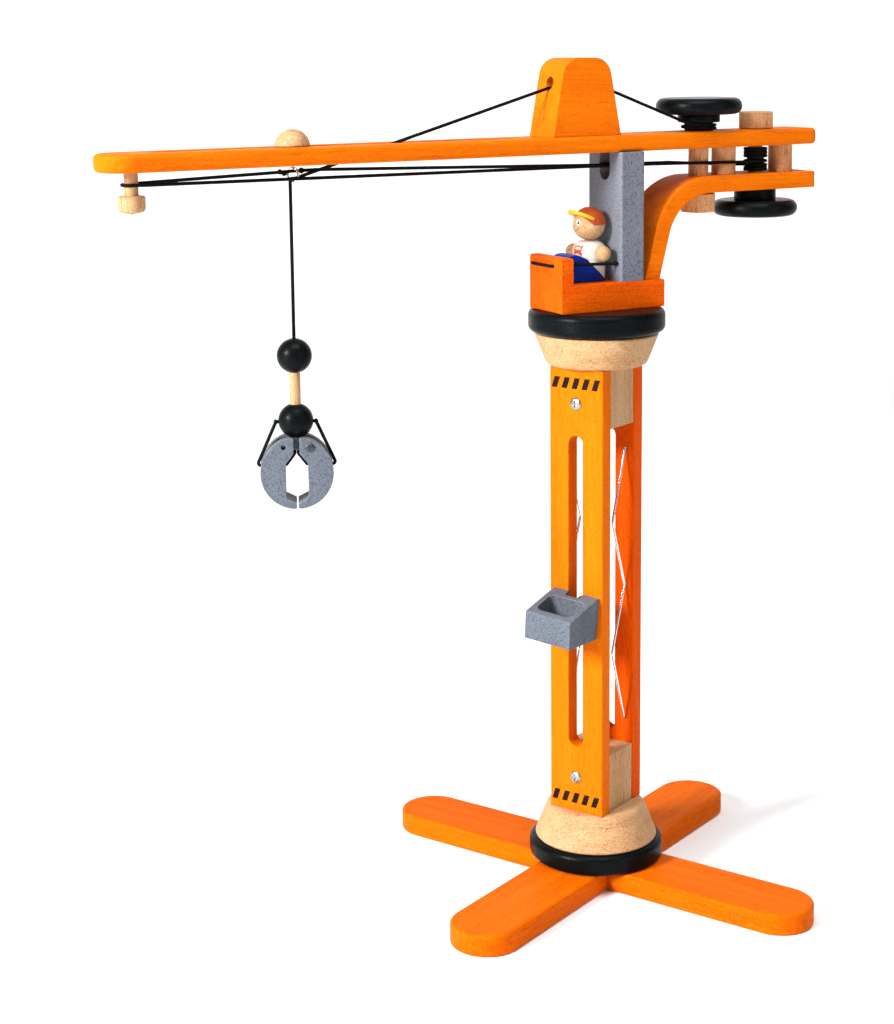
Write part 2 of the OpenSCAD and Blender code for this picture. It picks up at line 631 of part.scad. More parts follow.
// from the peak block down through the jib slot to the trolley's eye
module hoist_cord_front() color(black)
  tube(line_pts([peak_in_x - 0.9, 0, peak_cord_z], [trolley_x + 1.7, 0, pass_z], 36), cord_r);

// from the trolley's eye down to the upper ball
drop_end = ball_up_z + ball_r - 1;
module hoist_cord_drop() color(black)
  tube(concat(bend([[trolley_x + 1.5, 0, pass_z], [drop_x, 0, pass_z - 0.1],
                    [drop_x, 0, pass_z - 7]], 1.2, 4),
              line_pts([drop_x, 0, pass_z - 10], [drop_x, 0, drop_end], 14)), cord_r);

// ---------- cords of the trolley ----------
spool_r = travel_core_r + cord_gap + cord_r;
peg_cord_r = 4.3 + cord_r + 0.1;
dowel_cord_r = dowel_r + cord_r + 0.1;
post_cord_y = 4.7;
knot_r = 1.9;
tie_z = 510.1;

// strand from the post's slot, round the first spacer dowel and on to the spool; side = -1 is near
module spool_end(start, z_post, z_spool, side) {
  z_dowel = z_spool + (z_post - z_spool) * (travel_x - dowel_x) / (travel_x - post_x - post_d);
  tube(concat(start,
              line_pts([post_x - 3, side * post_cord_y, z_post],
                       [post_x + post_d, side * post_cord_y, z_post], 2),
              line_pts([dowel_x - 42, side * 6.9, z_post - 0.5], [dowel_x, side * dowel_cord_r, z_dowel], 5),
              line_pts([dowel_x + 6, side * (dowel_cord_r - 0.35), z_dowel - 0.2],
                       [travel_x - 4, side * (spool_r + 0.1), z_spool], 2),
              wrap(travel_x, spool_r, z_spool, side * 92, -side * 190, 20)), cord_r);
}

// unbroken lower run: round the tip peg and back to the spool
module travel_cord_return() color(black)
  spool_end(concat(wrap(tip_x, peg_cord_r, 506.2, 78, 270, 10),
                   line_pts([tip_x + 6, -peg_cord_r - 0.05, 506],
                            [post_x - 12, -post_cord_y - 0.1, 504.5], 26)),
            504.4, travel_near_z, -1);

// from the trolley's eye out to the tip peg
module travel_cord_out() color(black) {
  tube(line_pts([trolley_x - 1, -0.3, tie_z], [tip_x + 1.8, peg_cord_r, 506.4], 20), cord_r);
  knot([trolley_x - 6, -0.1, tie_z - 1], knot_r);
  knot([trolley_x - 8.8, 0.1, tie_z - 0.2], knot_r - 0.2);
}

// from the trolley's eye in to the spool
module travel_cord_in() color(black) {
  spool_end(concat(line_pts([trolley_x - 0.4, 0.3, tie_z], [trolley_x + 18, 3.1, tie_z], 6),
                   line_pts([trolley_x + 26, 3.2, tie_z - 0.2], [post_x - 12, post_cord_y - 0.1, 504.7], 24)),
            504.4, travel_far_z, 1);
  knot([trolley_x + 6.4, 1.4, tie_z], knot_r);
}

// ---------- hook and grabber ----------
hook_x = drop_x;
module at_hook() translate([hook_x, 0, 0]) rotate([0, 0, grab_turn]) children();

module bored_ball(z, up, down) translate([0, 0, z]) difference() {
  sphere(r = ball_r, $fn = 72);
  if (up > 0) translate([0, 0, 2]) cylinder(r = up, h = ball_r, $fn = 32);
  if (down > 0) translate([0, 0, -ball_r - 1]) cylinder(r = down, h = ball_r - 1, $fn = 32);
}

ball_cord_z = ball_low_z - 0.6;
module ball_upper() color(black) at_hook() bored_ball(ball_up_z, cord_r + 0.3, stick_r + fit);
module hook_stick() color(natural) at_hook() translate([0, 0, ball_low_z + 2.2])
  cylinder(r = stick_r, h = ball_up_z - ball_low_z - 4.6, $fn = 48);
module ball_lower() color(black) at_hook() difference() {
  bored_ball(ball_low_z, stick_r + fit, 0);
  translate([-5.2, -plate_t / 2 - glue, ball_low_z - ball_r - 1]) cube([10.4, plate_t + 2 * glue, 6.5]);
  translate([0, 0, ball_cord_z]) rotate([0, 90, 0])
    cylinder(r = cord_r + 0.2, h = 3 * ball_r, center = true, $fn = 32);
}

// hub plate glued into the lower ball; the jaws hang on it by their screws
plate_top = ball_low_z - ball_r + 5.3;
module grab_plate() color(grey) at_hook() difference() {
  union() {
    translate([-5.1, -plate_t / 2, grab_z + jaw_pivot_z + 2])
      cube([10.2, plate_t, plate_top - grab_z - jaw_pivot_z - 2]);
    translate([0, plate_t / 2, 0]) rotate([90, 0, 0]) linear_extrude(plate_t)
      translate([0, grab_z + jaw_pivot_z]) polygon(rect_pts(22.8, 6.2, 2.9));
  }
  for (s = [-1, 1]) translate([s * jaw_pivot_x, 0, grab_z + jaw_pivot_z]) rotate([90, 0, 0])
    cylinder(r = jaw_pin_r + fit, h = 3 * plate_t, center = true, $fn = 32);
  // throat for the closing cord
  translate([0, 0, grab_z]) cylinder(r = cord_d + 0.2, h = 60, $fn = 32);
}

jaw_gap = 0.5;
jaw_hole_z = 3.6;
// right jaw outline about the grabber's centre: outer arc, tip, hexagonal inside
function jaw_pts() = concat(
  [for (k = [0 : 22]) let (a = 78 - k * (78 + 84) / 22) [grab_r * cos(a), grab_r * sin(a)]],
  [[jaw_gap, -grab_r + 0.6], [jaw_gap, -grab_r + 3.6], [7.1, -16.2], [7.1, 5.9],
   [1.9, 12.8], [1.9, grab_r - 1.6], [2.6, grab_r - 0.7]]);

module jaw(s) translate([0, 0, grab_z]) mirror([s < 0 ? 1 : 0, 0, 0]) difference() {
  translate([0, grab_t / 2, 0]) rotate([90, 0, 0]) linear_extrude(grab_t) polygon(jaw_pts());
  // slot that the hub plate sits in, wide enough for the jaw to swing
  translate([-1, -plate_t / 2 - loose, 8]) cube([40, plate_t + 2 * loose, 30]);
  translate([jaw_pivot_x, 0, jaw_pivot_z]) rotate([90, 0, 0])
    cylinder(r = jaw_pin_r + fit, h = 2 * grab_t, center = true, $fn = 32);
  // room for the lower ball
  translate([0, 0, ball_low_z - grab_z]) sphere(r = ball_r + 0.7, $fn = 48);
  // hole for the closing cord
  translate([0, 0, jaw_hole_z]) rotate([0, 90, 0]) cylinder(r = cord_r + 0.4, h = 60, $fn = 32);
}
module jaw_right() color(grey) at_hook() jaw(1);
module jaw_left() color(grey) at_hook() jaw(-1);

module jaw_screws() color(chrome) at_hook() for (s = [-1, 1])
  translate([s * jaw_pivot_x, -s * (grab_t / 2 + 0.25), grab_z + jaw_pivot_z]) rotate([90 * s, 0, 0]) {
    difference() {
      turned([[0, 0], [2.7, 0], [2.7, 0.5], [2, 1.2], [0, 1.5]], 40);
      for (a = [0, 90]) rotate([0, 0, a]) translate([-1.6, -0.3, 0.6]) cube([3.2, 0.6, 2]);
    }
    translate([0, 0, -grab_t + 3]) cylinder(r = jaw_pin_r, h = grab_t - 2.9, $fn = 32);
  }

// closing cord of one jaw: down the throat, out through the jaw, up and into the lower ball
module jaw_cord(s) {
  side = cord_r + 0.05;
  zh = grab_z + jaw_hole_z;
  xo = grab_r + cord_r + 0.9;
  xk = ball_r + 1.6;
  tube(bend([[s * side, 0, ball_low_z - ball_r + 0.4], [s * side, 0, grab_z + 11], [s * 6.6, 0, zh + 0.2],
             [s * 12, 0, zh], [s * xo, 0, zh], [s * xk, 0, ball_cord_z],
             [s * 0.3, 0, ball_cord_z]], 1.5, 4), cord_r);
  knot([s * xk, 0, ball_cord_z], 1.5);
}
module jaw_cord_right() color(black) at_hook() jaw_cord(1);
module jaw_cord_left() color(black) at_hook() jaw_cord(-1);

// ---------- driver ----------
torso_r = 11.2;
torso_h = 27;
neck_z = 454.2;
hand_r = 5.4;
near_hand = [3, -12.3, 446];
far_hand = [-4.8, 12.3, 446];

// side outline of the bent legs, grown by g
module leg_side(g) offset(delta = g)
  polygon(rounded([[driver_x + 8.4, seat_z + 0.3], [driver_x - 7.7, seat_z + 15.6], [-21.5, seat_z + 19.2],
    [-30.2, seat_z + 18.2], [-28.2, seat_z + 10], [-28.2, seat_z + 0.3]], [1, 4, 5, 4, 4, 1], 5));
module legs_cut() rotate([90, 0, 0]) translate([0, 0, -30]) linear_extrude(60) leg_side(glue);

module driver_body() color(white) difference() {
  translate([driver_x, 0, seat_z + 0.3])
    turned(rounded([[0, 0], [torso_r - 0.6, 0], [torso_r, 16], [torso_r, torso_h], [0, torso_h]],
      [0, 1, 4, 6.4, 0], 6), 72);
  translate([driver_x, 0, neck_z - 6]) cylinder(r = 2.5 + fit, h = 10, $fn = 32);
  legs_cut();
}

module driver_legs() color(blue) for (y = [9.6, -0.5]) translate([0, y, 0]) rotate([90, 0, 0])
  linear_extrude(9.1) leg_side(0);

// the hands are balls set against the sides of the body
module driver_hands() color(natural) difference() {
  for (h = [near_hand, far_hand]) translate([driver_x, 0, 0] + h) sphere(r = hand_r, $fn = 48);
  translate([driver_x, 0, seat_z]) cylinder(r = torso_r + 0.05, h = torso_h, $fn = 72);
  legs_cut();
}

// side outline of the cap: level at the back, sloping down the temples, tipped up towards the visor
cap_tip = 24;
cap_skin = 0.3;
cap_depth = 1;
module cap_side(g) rotate([90, 0, 0]) linear_extrude(60, center = true) offset(delta = g)
  polygon([[20, 0], [-3, 0], [-8.4, 5.4], [-18.7, 10], [-18.7, 20], [20, 20]]);

module driver_head() color(natural) translate([driver_x, 0, 0]) {
  translate([0, 0, head_z]) {
    sphere(r = head_r - cap_depth, $fn = 72);
    difference() {
      sphere(r = head_r, $fn = 72);
      cap_side(glue);
    }
  }
  translate([0, 0, neck_z - 4]) cylinder(r = 2.5, h = 6, $fn = 32);
}

module driver_cap() color(cap_red) translate([driver_x, 0, head_z]) difference() {
  intersection() {
    sphere(r = head_r + cap_skin, $fn = 72);
    cap_side(0);
  }
  sphere(r = head_r - cap_depth + glue, $fn = 72);
}

// flat curved visor, tipped up at the front
module driver_visor() color([0.98, 0.76, 0.10]) translate([driver_x, 0, head_z]) rotate([0, cap_tip, 0])
  difference() {
    intersection() {
      translate([-6.2, 0, 1.5]) turned(disc_pts(11.2, 11.2, 2.1, 0.6, 0.6, 3), 64);
      translate([-40, -20, 0]) cube([36, 40, 8]);
    }
    sphere(r = head_r + cap_skin + glue, $fn = 72);
  }

// ---------- draw ----------
foot_plank_side();
foot_plank_front();
foot_disc();
foot_cone();
foot_bolt();
tower_plank_front();
tower_plank_back();
tower_block_lower();
tower_block_upper();
tower_screws();
brace_wire_right();
brace_wire_left();
hazard_stripes();
basket();
basket_slider();
upper_cone();
slew_bolt();
turntable();
cab();
cab_strap();
post();
bent_beam();
jib();
peak_block();
spacer_dowels();
tip_peg();
hoist_wheel();
hoist_hub();
hoist_axle();
hoist_windings();
hoist_cap();
travel_wheel();
travel_hub();
travel_axle();
travel_windings();
travel_cap();
trolley_head();
trolley_eye();
hoist_cord_back();
hoist_cord_front();
hoist_cord_drop();
travel_cord_return();
travel_cord_out();
travel_cord_in();
ball_upper();
hook_stick();
ball_lower();
grab_plate();
jaw_left();
jaw_right();
jaw_screws();
jaw_cord_left();
jaw_cord_right();
driver_head();
driver_cap();
driver_visor();
driver_body();
driver_legs();
driver_hands();
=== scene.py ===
"""Wooden toy tower crane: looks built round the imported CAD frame."""

import math

import bpy
from mathutils import Matrix, Vector
from mathutils.bvhtree import BVHTree


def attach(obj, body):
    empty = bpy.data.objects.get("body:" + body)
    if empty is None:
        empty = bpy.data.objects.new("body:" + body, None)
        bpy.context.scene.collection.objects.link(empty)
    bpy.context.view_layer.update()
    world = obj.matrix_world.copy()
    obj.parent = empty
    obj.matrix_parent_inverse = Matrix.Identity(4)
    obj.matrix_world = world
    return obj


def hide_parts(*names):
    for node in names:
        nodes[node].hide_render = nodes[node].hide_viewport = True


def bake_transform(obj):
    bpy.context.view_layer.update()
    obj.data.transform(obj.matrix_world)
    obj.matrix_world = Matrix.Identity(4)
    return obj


MM = 0.001
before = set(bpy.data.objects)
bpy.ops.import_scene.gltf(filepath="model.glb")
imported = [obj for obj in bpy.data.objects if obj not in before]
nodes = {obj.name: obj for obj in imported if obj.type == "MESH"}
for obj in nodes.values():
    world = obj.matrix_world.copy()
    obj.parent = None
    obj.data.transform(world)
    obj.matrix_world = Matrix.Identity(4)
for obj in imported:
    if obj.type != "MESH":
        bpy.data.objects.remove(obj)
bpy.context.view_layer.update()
scene = bpy.context.scene

# ---------------------------------------------------------------- camera
LENS = 69.28             # focal length in millimetres on a frame 36 mm high
FRAME_HEIGHT = 36.0
SHIFT = (0.00011, -0.1397)   # the crane stands above the middle of the picture

cam_data = bpy.data.cameras.new("camera")
cam_data.lens = LENS
cam_data.sensor_fit = "VERTICAL"
cam_data.sensor_height = FRAME_HEIGHT
cam_data.shift_x, cam_data.shift_y = SHIFT
cam_data.clip_end = 20
camera = bpy.data.objects.new("camera", cam_data)
scene.collection.objects.link(camera)
# columns: right, up, back and place, in metres
camera.matrix_world = Matrix((
    (0.878453, 0.088619, -0.469539, -0.726463),
    (-0.477704, 0.140471, -0.867218, -1.125696),
    (-0.010896, 0.986111, 0.165731, 0.590757),
    (0, 0, 0, 1)))
scene.camera = camera


# ---------------------------------------------------------------- materials
class Tree:
    """A material's node tree with short calls to add nodes; every method returns an output socket."""

    def __init__(self, name):
        self.mat = bpy.data.materials.new(name)
        self.mat.use_nodes = True
        self.tree = self.mat.node_tree
        self.bsdf = self.tree.nodes["Principled BSDF"]
        self.coord = self.add("ShaderNodeTexCoord").outputs["Object"]

    def add(self, kind, **inputs):
        node = self.tree.nodes.new(kind)
        self.feed(node, inputs)
        return node

    def feed(self, node, inputs):
        """Link or set inputs by name with underscores for spaces, or by place as i0, i1 and so on."""
        for key, value in inputs.items():
            by_place = key[0] == "i" and key[1:].isdigit()
            socket = node.inputs[int(key[1:]) if by_place else key.replace("_", " ")]
            if isinstance(value, bpy.types.NodeSocket):
                self.tree.links.new(value, socket)
            else:
                socket.default_value = value

    def mapped(self, scale, turn=0.0, shift=(0, 0, 0)):
        """Object coordinates turned about Z by turn degrees, then scaled."""
        rot = self.add("ShaderNodeMapping", Vector=self.coord, Rotation=(0, 0, math.radians(turn)))
        return self.add("ShaderNodeMapping", Vector=rot.outputs[0], Scale=scale, Location=shift).outputs[0]

    def noise(self, vector, scale=1.0, detail=4.0, rough=0.55, distort=0.0):
        return self.add("ShaderNodeTexNoise", Vector=vector, Scale=scale, Detail=detail, Roughness=rough,
                        Distortion=distort).outputs["Fac"]

    def wave(self, vector, scale, distort, detail=2.0, profile="SAW", direction="X"):
        node = self.add("ShaderNodeTexWave", Vector=vector, Scale=scale, Distortion=distort, Detail=detail)
        node.wave_profile = profile
        node.bands_direction = direction
        return node.outputs["Fac"]

    def ramp(self, fac, low, high, to_low=0.0, to_high=1.0):
        return self.add("ShaderNodeMapRange", Value=fac, i1=low, i2=high, i3=to_low, i4=to_high).outputs[0]

    def math(self, op, a, b=0.0):
        node = self.tree.nodes.new("ShaderNodeMath")
        node.operation = op
        self.feed(node, {"i0": a, "i1": b})
        return node.outputs[0]

    def mix(self, fac, a, b, blend="MIX"):
        node = self.tree.nodes.new("ShaderNodeMix")
        node.data_type = "RGBA"
        node.blend_type = blend
        self.feed(node, {"i0": fac, "i6": a, "i7": b})
        return node.outputs[2]

    def edge(self, radius):
        """1 on sharp edges, 0 on flats, from how far a rounded normal leans; and the rounded normal."""
        bevel = self.add("ShaderNodeBevel", Radius=radius)
        bevel.samples = 6
        flat = self.add("ShaderNodeNewGeometry").outputs["Normal"]
        dot = self.tree.nodes.new("ShaderNodeVectorMath")
        dot.operation = "DOT_PRODUCT"
        self.tree.links.new(bevel.outputs[0], dot.inputs[0])
        self.tree.links.new(flat, dot.inputs[1])
        return self.ramp(dot.outputs["Value"], 0.995, 0.8), bevel.outputs[0]

    def bump(self, height, distance, strength, normal=None):
        node = self.add("ShaderNodeBump", Height=height, Distance=distance, Strength=strength)
        if normal is not None:
            self.tree.links.new(normal, node.inputs["Normal"])
        return node.outputs[0]

    def finish(self, color, rough, normal, **more):
        self.feed(self.bsdf, {"Base Color": color, "Roughness": rough, "Normal": normal})
        for key, value in more.items():
            self.feed(self.bsdf, {key.replace("_", " "): value})
        return self.mat


def rgb(r, g, b):
    return (r, g, b, 1.0)


# how far grain is drawn out along its own direction, and its pitch across, per metre
ALONG, ACROSS = 9.0, 150.0


def grain_scale(axis):
    return tuple(ALONG if a == axis else ACROSS for a in "XYZ")


def wood(name, light, dark, pore, worn, axis="X", turn=0.0, gloss=0.42, shine=0.15, wear=0.25, speck=0.45,
         mottle=0.5):
    """Stained or clear wood: drawn-out bands, growth lines, open pores, fine mottle, wear on the edges.

    axis is the way of the grain and turn its angle about Z. speck and mottle set how strong pores and
    spots are.
    """
    t = Tree(name)
    scale = grain_scale(axis)
    long_scale = tuple(s * 6 for s in scale)
    vec = t.mapped(scale, turn)
    fine = t.mapped(long_scale, turn, (3, 7, 1))
    bands = t.noise(vec, 0.55, 5, 0.6, 0.6)
    lines = t.wave(t.mapped(scale, turn, (1, 2, 5)), 0.9, 7.0, 3, "SIN", "DIAGONAL")
    pores = t.noise(fine, 1.6, 3, 0.6)
    pits = t.noise(t.mapped((1250, 1250, 1250)), 1.0, 3, 0.65)
    tone = t.math("ADD", t.ramp(bands, 0.32, 0.68, 0, 0.72), t.ramp(lines, 0, 1, 0, 0.28))
    color = t.mix(tone, light, dark)
    pore_mask = t.math("MULTIPLY", t.ramp(pores, 0.54, 0.66), t.ramp(bands, 0.35, 0.65, 0.4, 1.0))
    color = t.mix(t.math("MULTIPLY", pore_mask, speck), color, pore)
    color = t.mix(t.ramp(pits, 0.42, 0.66, 0.0, mottle * 0.5), color, dark, "MULTIPLY")
    pit_mask = t.ramp(pits, 0.60, 0.68)
    color = t.mix(t.math("MULTIPLY", pit_mask, speck), color, pore)
    edge, soft = t.edge(0.0011)
    chip = t.math("MULTIPLY", edge, t.ramp(t.noise(t.mapped((260, 260, 260)), 1, 4, 0.7), 0.42, 0.62))
    color = t.mix(t.math("MULTIPLY", chip, wear), color, worn)
    band_rough = t.ramp(bands, 0.3, 0.7, gloss - 0.05, gloss + 0.07)
    rough = t.math("ADD", band_rough, t.math("MULTIPLY", pore_mask, 0.15))
    hollows = t.math("ADD", t.math("MULTIPLY", pore_mask, 0.6), t.math("MULTIPLY", pit_mask, 0.7))
    height = t.math("SUBTRACT", t.ramp(bands, 0, 1, 0, 0.5), hollows)
    return t.finish(color, rough, t.bump(height, 0.00022, 0.6, soft), Specular_IOR_Level=shine)


TOWER = 64.5             # the tower's own turn against the jib, in degrees
ORANGE = dict(light=rgb(0.66, 0.134, 0.0012), dark=rgb(0.58, 0.096, 0.0008), pore=rgb(0.30, 0.022, 0.001),
              worn=rgb(0.80, 0.24, 0.015), wear=0.5, gloss=0.42, shine=0.014, mottle=1.0)
# The tower's front plank gets a lighter, yellower copy of the orange: painted light on its lit face.
ORANGE_PAINTED_LIGHT_FRONT = dict(ORANGE, light=rgb(0.70, 0.165, 0.0030), dark=rgb(0.63, 0.125, 0.0020), speck=0.3,
                    mottle=0.8)
# The tower's back plank gets a darker, redder copy of the orange: painted shade on its shaded face.
ORANGE_PAINTED_SHADE_BACK = dict(ORANGE, light=rgb(0.70, 0.098, 0.0022), dark=rgb(0.61, 0.070, 0.0016))
# The jib, peak block and bent beam get a lighter, yellower copy of the orange: painted light for their sides
# lit from above.
ORANGE_PAINTED_LIGHT_JIB = dict(ORANGE, light=rgb(0.70, 0.168, 0.0030), dark=rgb(0.61, 0.118, 0.0020), speck=0.4,
                  mottle=0.9)
# The cab gets a darker, redder copy of the orange: painted shade for its shaded side.
ORANGE_PAINTED_SHADE_CAB = dict(ORANGE, light=rgb(0.70, 0.114, 0.0022), dark=rgb(0.61, 0.076, 0.0016), speck=0.55,
                  mottle=1.0)
NATURAL = dict(light=rgb(0.53, 0.350, 0.190), dark=rgb(0.43, 0.245, 0.115), pore=rgb(0.22, 0.085, 0.030),
               worn=rgb(0.60, 0.42, 0.25), wear=0.35, gloss=0.48, shine=0.07, speck=0.75, mottle=1.0)
BLACK = dict(light=rgb(0.0020, 0.0038, 0.0046), dark=rgb(0.0009, 0.0018, 0.0022),
             pore=rgb(0.0003, 0.0003, 0.0003), worn=rgb(0.030, 0.030, 0.030), wear=0.4, gloss=0.28,
             shine=0.06, speck=0.8)

orange_u = wood("orange_along_foot", axis="X", turn=TOWER, **ORANGE)
orange_v = wood("orange_across_foot", axis="Y", turn=TOWER, **ORANGE)
orange_painted_light_front = wood("orange_painted_light_tower_front", axis="Z", turn=TOWER, **ORANGE_PAINTED_LIGHT_FRONT)
orange_painted_shade_back = wood("orange_painted_shade_tower_back", axis="Z", turn=TOWER, **ORANGE_PAINTED_SHADE_BACK)
orange_painted_light_jib = wood("orange_painted_light_along_jib", axis="X", **ORANGE_PAINTED_LIGHT_JIB)
orange_painted_shade_cab = wood("orange_painted_shade_cab", axis="X", **ORANGE_PAINTED_SHADE_CAB)
natural_x = wood("natural_lying", axis="X", turn=30, **NATURAL)
natural_z = wood("natural_upright", axis="Z", turn=TOWER, **NATURAL)
natural_dowel = wood("natural_dowel", axis="Z", turn=15, **dict(NATURAL, light=rgb(0.70, 0.41, 0.205),
                     dark=rgb(0.58, 0.30, 0.130)))
black_x = wood("black_turned", axis="X", turn=20, **BLACK)


def painted(name, light, dark, fleck, primer, wear=0.6, fleck_low=0.56, gloss=0.5, shine=0.07):
    """Opaque paint on wood: faint brush tone, fine flecks, edges worn to the paler wood."""
    t = Tree(name)
    soft_tone = t.noise(t.mapped((40, 40, 14)), 1.0, 4, 0.6)
    color = t.mix(t.ramp(soft_tone, 0.3, 0.7), light, dark)
    flecks = t.ramp(t.noise(t.mapped((1100, 1100, 800)), 1.0, 3, 0.7), fleck_low, fleck_low + 0.08)
    color = t.mix(t.math("MULTIPLY", flecks, 0.75), color, fleck)
    pale = t.ramp(t.noise(t.mapped((1500, 1500, 1100), 0, (5, 2, 8)), 1.0, 2, 0.6), 0.62, 0.72)
    color = t.mix(t.math("MULTIPLY", pale, 0.40), color, primer)
    edge, soft = t.edge(0.0009)
    chip = t.math("MULTIPLY", edge, t.ramp(t.noise(t.mapped((220, 220, 220)), 1, 4, 0.7), 0.38, 0.6))
    color = t.mix(t.math("MULTIPLY", chip, wear), color, primer)
    streak = t.noise(t.mapped((700, 700, 40)), 1.0, 3, 0.6)
    height = t.math("ADD", t.math("MULTIPLY", flecks, -0.5), t.ramp(streak, 0, 1, 0, 0.6))
    rough = t.ramp(soft_tone, 0.3, 0.7, gloss - 0.05, gloss + 0.08)
    return t.finish(color, rough, t.bump(height, 0.00012, 0.45, soft), Specular_IOR_Level=shine)


grey = painted("grey_paint", rgb(0.155, 0.165, 0.200), rgb(0.120, 0.128, 0.158), rgb(0.040, 0.042, 0.055),
               rgb(0.42, 0.38, 0.34), wear=0.8, fleck_low=0.53)
# Basket, grab plate and jaws: a bluer grey as their paint, made darker than the post's grey; the darkening is
# painted shade.
bluish_grey_painted_shade = painted("bluish_grey_paint_painted_shade", rgb(0.108, 0.126, 0.155), rgb(0.082, 0.096, 0.120),
                    rgb(0.026, 0.030, 0.040), rgb(0.34, 0.34, 0.34), wear=0.8, fleck_low=0.53)
white = painted("white_paint", rgb(0.54, 0.52, 0.47), rgb(0.48, 0.45, 0.39), rgb(0.40, 0.32, 0.24),
                rgb(0.66, 0.60, 0.50), wear=0.3, fleck_low=0.62)
blue = painted("blue_paint", rgb(0.003, 0.022, 0.24), rgb(0.002, 0.014, 0.17), rgb(0.0006, 0.004, 0.06),
               rgb(0.03, 0.10, 0.42), wear=0.5, gloss=0.36, shine=0.05)
cap_brown = painted("cap_paint", rgb(0.36, 0.058, 0.012), rgb(0.28, 0.042, 0.009), rgb(0.14, 0.018, 0.004),
                    rgb(0.50, 0.16, 0.05), wear=0.5, gloss=0.42, shine=0.1)
yellow = painted("visor_paint", rgb(0.80, 0.42, 0.012), rgb(0.72, 0.34, 0.008), rgb(0.42, 0.16, 0.004),
                 rgb(0.82, 0.55, 0.15), wear=0.5, gloss=0.4, shine=0.1)
stripe = painted("stripe_ink", rgb(0.006, 0.005, 0.004), rgb(0.012, 0.009, 0.006), rgb(0.001, 0.001, 0.001),
                 rgb(0.20, 0.05, 0.005), wear=0.25, gloss=0.5, shine=0.04)


def metal(name, color, rough, streak_scale, bump=0.25):
    """Plain metal with drawn streaks, dull patches and slightly rounded edges."""
    t = Tree(name)
    lines = t.noise(t.mapped(streak_scale), 1.0, 3, 0.6)
    dull = t.noise(t.mapped((90, 90, 90)), 1.0, 3, 0.5)
    tint = t.mix(t.ramp(dull, 0.35, 0.7), color, tuple(c * 0.82 for c in color[:3]) + (1,))
    edge, soft = t.edge(0.0003)
    r = t.math("ADD", t.ramp(lines, 0.3, 0.7, rough - 0.05, rough + 0.08), t.math("MULTIPLY", edge, 0.05))
    return t.finish(tint, r, t.bump(lines, 0.00004, bump, soft), Metallic=1.0)


steel = metal("plated_steel", rgb(0.36, 0.36, 0.35), 0.34, (1800, 1800, 300))
dull_steel = metal("dull_steel", rgb(0.10, 0.10, 0.105), 0.45, (1800, 1800, 300))
chrome = metal("bright_wire", rgb(0.82, 0.83, 0.85), 0.14, (900, 900, 60), 0.1)


def braid(name):
    """Black braided cord: crossed diagonal strands in its bump and sheen."""
    t = Tree(name)
    a = t.wave(t.mapped((1, 1, 1.4)), 420, 1.5, 2, "SIN", "DIAGONAL")
    b = t.wave(t.mapped((-1, 1, 1.1), 35), 390, 1.5, 2, "SIN", "DIAGONAL")
    fuzz = t.noise(t.mapped((2600, 2600, 2600)), 1.0, 3, 0.7)
    weave = t.math("MULTIPLY", a, b)
    color = t.mix(t.ramp(weave, 0, 0.9), rgb(0.002, 0.002, 0.002), rgb(0.010, 0.010, 0.011))
    color = t.mix(t.ramp(fuzz, 0.6, 0.75, 0, 0.3), color, rgb(0.022, 0.022, 0.022))
    rough = t.ramp(fuzz, 0.3, 0.7, 0.62, 0.85)
    return t.finish(color, rough, t.bump(t.math("ADD", weave, t.math("MULTIPLY", fuzz, 0.4)), 0.00015, 0.6),
                    Specular_IOR_Level=0.06)


cord = braid("black_cord")


def print_ink(name, color, other):
    """Thin printed colour on the driver."""
    t = Tree(name)
    spots = t.noise(t.mapped((1300, 1300, 1300)), 1.0, 3, 0.6)
    mixed = t.mix(t.ramp(spots, 0.45, 0.7), color, other)
    rough = t.ramp(spots, 0.3, 0.7, 0.34, 0.46)
    return t.finish(mixed, rough, t.bump(spots, 0.00003, 0.3), Specular_IOR_Level=0.25)


ink_red = print_ink("ink_red", rgb(0.62, 0.045, 0.012), rgb(0.50, 0.035, 0.012))
ink_white = print_ink("ink_white", rgb(0.66, 0.65, 0.62), rgb(0.58, 0.56, 0.52))
ink_blue = print_ink("ink_blue", rgb(0.025, 0.05, 0.11), rgb(0.02, 0.04, 0.09))
ink_dark = print_ink("ink_dark", rgb(0.015, 0.012, 0.012), rgb(0.03, 0.022, 0.02))
ink_brown = print_ink("ink_brown", rgb(0.20, 0.055, 0.02), rgb(0.16, 0.04, 0.015))

LOOKS = {
    orange_u: "foot_plank_side", orange_v: "foot_plank_front",
    orange_painted_light_front: "tower_plank_front", orange_painted_shade_back: "tower_plank_back",
    orange_painted_light_jib: "jib peak_block bent_beam", orange_painted_shade_cab: "cab",
    natural_x: "foot_cone upper_cone basket_slider trolley_head driver_head driver_hands",
    natural_z: "tower_block_lower tower_block_upper tip_peg hook_stick",
    natural_dowel: "spacer_dowels hoist_axle hoist_cap travel_axle travel_cap",
    black_x: "foot_disc turntable hoist_wheel hoist_hub travel_wheel travel_hub ball_upper ball_lower",
    grey: "post", bluish_grey_painted_shade: "basket grab_plate jaw_left jaw_right",
    steel: "foot_bolt slew_bolt tower_screws", dull_steel: "jaw_screws",
    chrome: "brace_wire_right brace_wire_left trolley_eye",
    stripe: "hazard_stripes",
    cord: "cab_strap hoist_cord_back travel_cord_return hoist_windings travel_windings hoist_cord_front "
          "hoist_cord_drop travel_cord_out travel_cord_in jaw_cord_left jaw_cord_right",
    cap_brown: "driver_cap", yellow: "driver_visor", white: "driver_body", blue: "driver_legs",
}
for look, names in LOOKS.items():
    for n in names.split():
        nodes[n].data.materials.clear()
        nodes[n].data.materials.append(look)


